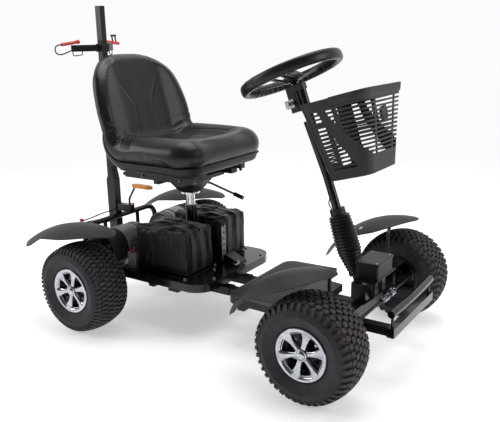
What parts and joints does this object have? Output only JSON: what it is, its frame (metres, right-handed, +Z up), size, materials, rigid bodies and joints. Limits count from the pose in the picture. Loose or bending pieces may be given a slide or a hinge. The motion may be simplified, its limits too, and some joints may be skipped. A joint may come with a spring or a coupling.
{
  "type": "single-seat golf buggy",
  "caption": "Ride-on golf buggy with turf tyres, bucket seat on a pedestal, leaning steering column with basket, battery bags and a bag post.",
  "frame": {"origin": "on the ground under the middle of the overall length, on the centre plane", "axes": "+X forward, +Y to the rider's left, +Z up"},
  "size_m": [1.475, 0.888, 1.17],
  "materials": {
    "bare_steel": "turned steel",
    "battery_case": "battery case",
    "black_cord": "black covered cord",
    "black_nylon": "woven black nylon",
    "black_plastic": "black moulded plastic",
    "black_powder": "satin black powder coat",
    "black_rubber": "ribbed rubber",
    "black_vinyl": "black vinyl upholstery",
    "charcoal_plastic": "charcoal moulded plastic",
    "chrome_cover": "chromed moulded cover",
    "chrome_post": "chromed collar",
    "coral_plastic": "coral red plastic",
    "gloss_black": "gloss black powder coat",
    "grip_pu": "soft black rim",
    "motor_grey": "grey painted motor",
    "orange_plastic": "orange plastic",
    "plug_grey": "grey connector",
    "turf_rubber": "moulded turf tyre",
    "zinc_rod": "zinc plated rod",
    "zinc_strap": "grey perforated strap"
  },
  "bodies": {
    "chassis": {"bag_post": "black_powder", "basket": "charcoal_plastic", "batteries": "battery_case", "battery_bag_left": "black_nylon", "battery_bag_right": "black_nylon", "battery_strap": "zinc_strap", "bumper": "black_powder", "column_boot": "black_rubber", "column_cable": "black_cord", "column_head": "black_powder", "control_box": "black_plastic", "cradle_grips": "coral_plastic", "deck_tray": "gloss_black", "drive_unit_left": "motor_grey", "drive_unit_right": "motor_grey", "fender_front_left": "charcoal_plastic", "fender_front_right": "charcoal_plastic", "fender_rear_left": "charcoal_plastic", "fender_rear_right": "charcoal_plastic", "footboard": "black_plastic", "freewheel_lever": "orange_plastic", "front_axle": "black_powder", "front_frame": "black_powder", "key_switch": "black_plastic", "latch_plate": "black_powder", "lower_bag_cord": "black_cord", "lower_cradle": "black_powder", "post_sleeve": "black_powder", "power_lead": "black_cord", "power_plug": "plug_grey", "rear_axle": "bare_steel", "rear_frame": "black_powder", "rear_hoop": "black_powder", "seat_post": "black_powder", "steering_column": "black_powder", "upper_bag_cord": "black_cord", "upper_cradle": "black_powder"},
    "wheel_front_left": {"tyre_front_left": "turf_rubber", "rim_front_left": "black_powder", "wheel_cover_front_left": "chrome_cover"},
    "wheel_front_right": {"tyre_front_right": "turf_rubber", "rim_front_right": "black_powder", "wheel_cover_front_right": "chrome_cover"},
    "wheel_rear_left": {"tyre_rear_left": "turf_rubber", "rim_rear_left": "black_powder", "wheel_cover_rear_left": "chrome_cover"},
    "wheel_rear_right": {"tyre_rear_right": "turf_rubber", "rim_rear_right": "black_powder", "wheel_cover_rear_right": "chrome_cover"},
    "knuckle_left": {"knuckle_left": "black_powder"},
    "knuckle_right": {"knuckle_right": "black_powder"},
    "tie_rod": {"tie_rod": "zinc_rod"},
    "steering_wheel": {"steering_wheel": "grip_pu"},
    "seat": {"seat": "black_vinyl", "seat_pan": "black_plastic", "seat_slides": "black_powder", "seat_swivel": "chrome_post", "seat_lever": "black_powder"}
  },
  "joints": [
    {"name": "steering", "type": "hinge", "parent": "chassis", "child": "steering_wheel", "pos_m": [0.279, 0, 0.923], "axis": [-0.4035, 0, 0.915], "range_deg": [-60, 60]},
    {"name": "seat_turn", "type": "hinge", "parent": "chassis", "child": "seat", "pos_m": [-0.167, 0, 0.45], "axis": [0, 0, 1], "range_deg": [-90, 90]},
    {"name": "tie_rod_shift", "type": "slide", "parent": "chassis", "child": "tie_rod", "axis": [0, 1, 0], "range_m": [-0.0372, 0.0372]},
    {"name": "steer_left", "type": "hinge", "parent": "chassis", "child": "knuckle_left", "pos_m": [0.555, 0.265, 0.165], "axis": [0, 0, 1], "range_deg": [-30, 30]},
    {"name": "roll_front_left", "type": "hinge", "parent": "knuckle_left", "child": "wheel_front_left", "pos_m": [0.555, 0.365, 0.165], "axis": [0, 1, 0], "continuous": true},
    {"name": "roll_rear_left", "type": "hinge", "parent": "chassis", "child": "wheel_rear_left", "pos_m": [-0.395, 0.365, 0.165], "axis": [0, 1, 0], "continuous": true},
    {"name": "steer_right", "type": "hinge", "parent": "chassis", "child": "knuckle_right", "pos_m": [0.555, -0.265, 0.165], "axis": [0, 0, 1], "range_deg": [-30, 30]},
    {"name": "roll_front_right", "type": "hinge", "parent": "knuckle_right", "child": "wheel_front_right", "pos_m": [0.555, -0.365, 0.165], "axis": [0, 1, 0], "continuous": true},
    {"name": "roll_rear_right", "type": "hinge", "parent": "chassis", "child": "wheel_rear_right", "pos_m": [-0.395, -0.365, 0.165], "axis": [0, 1, 0], "continuous": true}
  ],
  "couplings": [
    {"joint": "steer_left", "follows": "steering", "ratio": 0.5},
    {"joint": "steer_right", "follows": "steering", "ratio": 0.5},
    {"joint": "tie_rod_shift", "follows": "steering", "m_per_rad": 0.0345}
  ]
}
